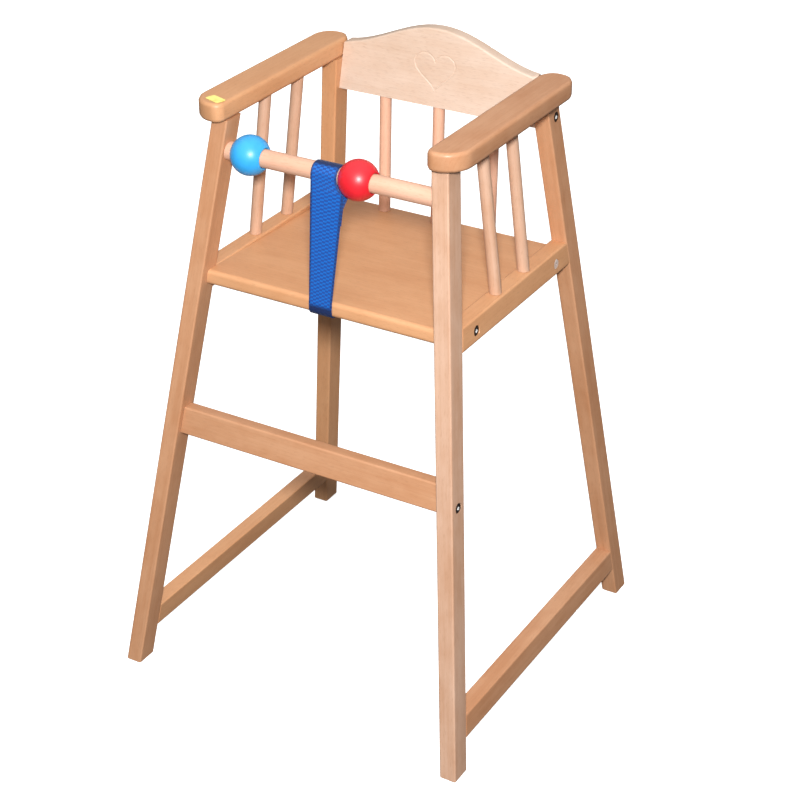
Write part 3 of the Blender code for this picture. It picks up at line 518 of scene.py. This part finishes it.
def make_bead(node, material):
    """A turned ball: the same as the CAD bead with a softer rim at its bore."""
    low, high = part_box(node)
    centre = (low + high) / 2
    radius = (high.z - low.z) / 2
    half = (high.x - low.x) / 2
    bore = math.sqrt(radius**2 - half**2)
    profile = []
    inner = bore - 0.0008
    profile.append((inner, -half + 0.0012))
    profile.append((inner + 0.0002, -half + 0.0005))
    start = math.asin((bore + 0.0002) / radius)
    steps = 40
    for step in range(steps + 1):
        angle = start + (math.pi - 2 * start) * step / steps
        profile.append((radius * math.sin(angle), -radius * math.cos(angle)))
    profile.append((inner + 0.0002, half - 0.0005))
    profile.append((inner, half - 0.0012))
    around = 72
    bm = bmesh.new()
    rings = []
    for along_radius, along in profile:
        ring = []
        for spoke in range(around):
            angle = 2 * math.pi * spoke / around
            at = (along, along_radius * math.cos(angle), along_radius * math.sin(angle))
            ring.append(bm.verts.new(centre + Vector(at)))
        rings.append(ring)
    for first, second in zip(rings, rings[1:] + rings[:1]):
        for spoke in range(around):
            after = (spoke + 1) % around
            bm.faces.new((first[spoke], first[after], second[after], second[spoke]))
    return stand_in(add_object(f"{node}_ball", mesh_of(node, bm, 60)), node, material)


make_bead("bead_blue", paint("blue_gloss", srgb(56, 168, 232), srgb(36, 140, 214)))
make_bead("bead_red", paint("red_gloss", srgb(226, 34, 46), srgb(198, 16, 30)))


# ---------------------------------------------------------------- strap

STRAP_THICKNESS, STRAP_GAP = 0.0018, 0.0003
LOOP_RUNS = (0.055, 0.045, 0.035)  # the loop's sewn end: distances down the front run from the bar
LOOP_START = math.radians(-35)  # where the webbing meets the bar, round from the rear
LOOP_ROWS, ARC_STEPS = len(LOOP_RUNS), 40
OVER_BAR_SHARE = 0.79  # of the arc's steps: where the painted shade over the bar ends
STRAP_EDGES_TOP = (-0.0189, 0.0272)
STRAP_EDGES_SEAT = (-0.0128, 0.0188)
STRAP_WEAVE_HALF = 0.0215  # half the webbing's flat width
RED_BEAD_X, BEAD_RADIUS, BEAD_CLEARANCE = 0.0375, 0.024, 0.001
RIB_PITCH = 0.00446  # along the webbing
RIB_COLUMN = 0.0052  # width of one column of ribs
COLUMN_STEP = (0.44, 0.56)  # where a column passes to the next, as shares of its width
RIB_LIFT = 0.00016
ROW_SPACING = 0.00056
EDGE_FLAT, EDGE_ROUND = 0.0022, 0.0009  # widths at each selvedge that are smooth, and rounded


def webbing(fold_from, fold_to, nose_from):
    """Ribbed webbing, with painted shade at its selvedges, over the bar and where it folds under the seat."""
    material, shader = new_material("blue_ribbed_webbing")
    g = Graph(material.node_tree)
    uv = g.add("ShaderNodeUVMap", uv_map="weave").outputs[0]
    split = g.add("ShaderNodeSeparateXYZ")
    g.put(split.inputs[0], uv)
    across, along = split.outputs["X"], split.outputs["Y"]
    column = g.math("PINGPONG", g.math("MULTIPLY", across, 1 / RIB_COLUMN), 1.0)
    phase = g.band(column, *COLUMN_STEP, 0.0, 0.5)
    turns = g.math("ADD", g.math("MULTIPLY", along, 1 / RIB_PITCH), phase)
    rib = g.math("SINE", g.math("MULTIPLY", turns, 2 * math.pi))
    yarn = g.math("SINE", g.math("MULTIPLY", across, 2 * math.pi / 0.00075))
    twist = g.noise(g.add("ShaderNodeTexCoord").outputs["Object"], 900, 3)
    lit = g.band(rib, -0.9, 0.9)
    colour = g.mix(lit, srgb(0, 60, 140), srgb(4, 108, 200))
    colour = g.mix(g.math("MULTIPLY", g.band(twist, 0.3, 0.7), 0.25), colour, srgb(0, 50, 132))
    # painted shade: the curled selvedges, the run over the top and back of the bar and the fold under the
    # seat are darkened
    selvedge = g.band(g.math("ABSOLUTE", across), 0.0172, 0.0200)
    over_bar = g.math(
        "MULTIPLY", g.band(along, fold_from, fold_from + 0.004), g.band(along, fold_to - 0.005, fold_to, 1, 0)
    )
    under = g.band(along, nose_from, nose_from + 0.006)
    painted_shade = g.math("MAXIMUM", g.math("MAXIMUM", over_bar, under), g.math("MULTIPLY", selvedge, 0.8))
    # the dark navy of the painted shade
    colour = g.mix(g.math("MULTIPLY", painted_shade, 0.92), colour, srgb(3, 22, 66))
    g.put(shader.inputs["Base Color"], colour)
    shader.inputs["Roughness"].default_value = 0.62
    shader.inputs["Sheen Weight"].default_value = 0.08
    shader.inputs["Sheen Roughness"].default_value = 0.4
    height = g.math("MULTIPLY_ADD", yarn, 0.25, g.math("MULTIPLY", twist, 0.8))
    g.put(shader.inputs["Normal"], g.bump(height, 0.0002, 0.8))
    return material


def seat_point(along, up):
    sin, cos = math.sin(SEAT_FALL), math.cos(SEAT_FALL)
    return Vector((SEAT_FRONT_Y + along * cos + up * sin, SEAT_FRONT_TOP - along * sin + up * cos))


def strap_slope():
    """The front run's lean in radians: it touches the bar and the seat's nose."""
    nose = seat_point(SEAT_NOSE, -SEAT_NOSE)
    dy, dz = nose.x - BAR_Y, nose.y - BAR_Z
    return math.acos((BAR_RADIUS - SEAT_NOSE) / math.hypot(dy, dz)) - math.atan2(-dz, -dy)


def strap_path():
    """Middle line of the webbing as (y, z): the sewn end, round the bar, down, and under the seat."""
    slope = strap_slope()
    off = STRAP_GAP + STRAP_THICKNESS / 2
    around, nose = BAR_RADIUS + off, SEAT_NOSE + off
    leaves = Vector((BAR_Y - around * math.cos(slope), BAR_Z + around * math.sin(slope)))
    down = Vector((-math.sin(slope), -math.cos(slope)))
    behind = Vector((STRAP_THICKNESS + STRAP_GAP, 0))
    points = [leaves + down * run + behind for run in LOOP_RUNS]
    for step in range(ARC_STEPS + 1):
        angle = LOOP_START + (math.pi - slope - LOOP_START) * step / ARC_STEPS
        points.append(Vector((BAR_Y + around * math.cos(angle), BAR_Z + around * math.sin(angle))))
    for angle in np.linspace(math.pi - slope + SEAT_FALL, math.pi, 4):
        points.append(seat_point(SEAT_NOSE + nose * math.cos(angle), -SEAT_NOSE + nose * math.sin(angle)))
    low = -SEAT_THICKNESS + SEAT_NOSE
    for step in range(13):
        turned = math.radians(180 + 90 * step / 12)
        points.append(seat_point(SEAT_NOSE + nose * math.cos(turned), low + nose * math.sin(turned)))
    points.append(seat_point(0.040, -SEAT_THICKNESS - off))
    return points


def strap_edges(y, z):
    """The webbing gathers towards the seat, and where the red bead crowds it on the bar."""
    share = min(1, max(0, (BAR_Z - z) / (BAR_Z - SEAT_FRONT_TOP)))
    left, right = (top + (low - top) * share for top, low in zip(STRAP_EDGES_TOP, STRAP_EDGES_SEAT))
    reach = math.hypot(y - BAR_Y, z - BAR_Z)
    if reach < BEAD_RADIUS:
        right = min(right, RED_BEAD_X - math.sqrt(BEAD_RADIUS**2 - reach**2) - BEAD_CLEARANCE)
    return left, right


def resample(points, spacing):
    lengths = [0.0]
    for first, second in zip(points, points[1:]):
        lengths.append(lengths[-1] + (second - first).length)
    count = round(lengths[-1] / spacing)
    wanted = np.linspace(0, lengths[-1], count + 1)
    ys = np.interp(wanted, lengths, [point.x for point in points])
    zs = np.interp(wanted, lengths, [point.y for point in points])
    return wanted, ys, zs


def make_strap():
    path = strap_path()
    reached = np.cumsum([0.0] + [(second - first).length for first, second in zip(path, path[1:])])
    along, ys, zs = resample(path, ROW_SPACING)
    columns = 36
    bm = bmesh.new()
    uv_layer = bm.loops.layers.uv.new("weave")
    where = {}
    top, bottom = [], []
    for index, (s, y, z) in enumerate(zip(along, ys, zs)):
        before, after = max(0, index - 1), min(len(ys) - 1, index + 1)
        run = Vector((0, ys[after] - ys[before], zs[after] - zs[before])).normalized()
        out = Vector((0, run.z, -run.y))  # away from the bar
        left, right = strap_edges(y, z)
        half, centre = (right - left) / 2, (right + left) / 2
        upper, lower = [], []
        for column in range(columns + 1):
            u = -1 + 2 * column / columns
            x = centre + u * half
            inside = (1 - abs(u)) * half
            flat = min(1, inside / EDGE_FLAT)
            shoulder = math.sqrt(max(0.0, 1 - (1 - min(1, inside / EDGE_ROUND)) ** 2))
            across = u * STRAP_WEAVE_HALF
            cell = abs(((across / RIB_COLUMN) + 1) % 2 - 1)
            phase = 0.5 * min(1, max(0, (cell - COLUMN_STEP[0]) / (COLUMN_STEP[1] - COLUMN_STEP[0])))
            rib = math.cos(2 * math.pi * (s / RIB_PITCH + phase))
            lift = RIB_LIFT * rib * flat
            base = STRAP_THICKNESS / 2 * shoulder
            upper.append(bm.verts.new(Vector((x, y, z)) + out * (base * 0.92 + lift)))
            lower.append(bm.verts.new(Vector((x, y, z)) - out * (base * 0.92 - lift * 0.5)))
            where[upper[-1]] = where[lower[-1]] = (across, s)
        top.append(upper)
        bottom.append(lower)
    for rows in (top, bottom):
        for first, second in zip(rows, rows[1:]):
            for a, b, c, d in zip(first, first[1:], second[1:], second):
                bm.faces.new((a, b, c, d))
    selvedges = [[row[column] for row in rows] for column in (0, -1) for rows in (top, bottom)]
    ends = [rows[row] for row in (0, -1) for rows in (top, bottom)]
    for above, below in zip((selvedges + ends)[::2], (selvedges + ends)[1::2]):
        for a, b, c, d in zip(above, above[1:], below[1:], below):
            bm.faces.new((a, b, c, d))
    for face in bm.faces:
        for loop in face.loops:
            loop[uv_layer].uv = where[loop.vert]
    bmesh.ops.remove_doubles(bm, verts=bm.verts, dist=0.00002)
    strap = add_object("crotch_strap_webbing", mesh_of("crotch_strap_webbing", bm, 80))
    bar_top, nose_start = LOOP_ROWS + round(ARC_STEPS * OVER_BAR_SHARE), LOOP_ROWS + ARC_STEPS + 1
    cloth = webbing(reached[LOOP_ROWS], reached[bar_top], reached[nose_start])
    return stand_in(strap, "crotch_strap", cloth)


make_strap()


def paper():
    material, shader = new_material("yellow_matt_paper")
    g = Graph(material.node_tree)
    coordinate = g.add("ShaderNodeTexCoord").outputs["Object"]
    fibre = g.noise(coordinate, 1400, 4, 0.65)
    soil = g.noise(coordinate, 160, 3)
    colour = g.mix(g.band(soil, 0.42, 0.75), srgb(250, 240, 140), srgb(236, 218, 112))
    g.put(shader.inputs["Base Color"], colour)
    g.put(shader.inputs["Roughness"], g.math("MULTIPLY_ADD", fibre, 0.2, 0.55))
    g.put(shader.inputs["Normal"], g.bump(fibre, 0.00005, 0.6))
    return material


clean_copy("blank_label", paper())
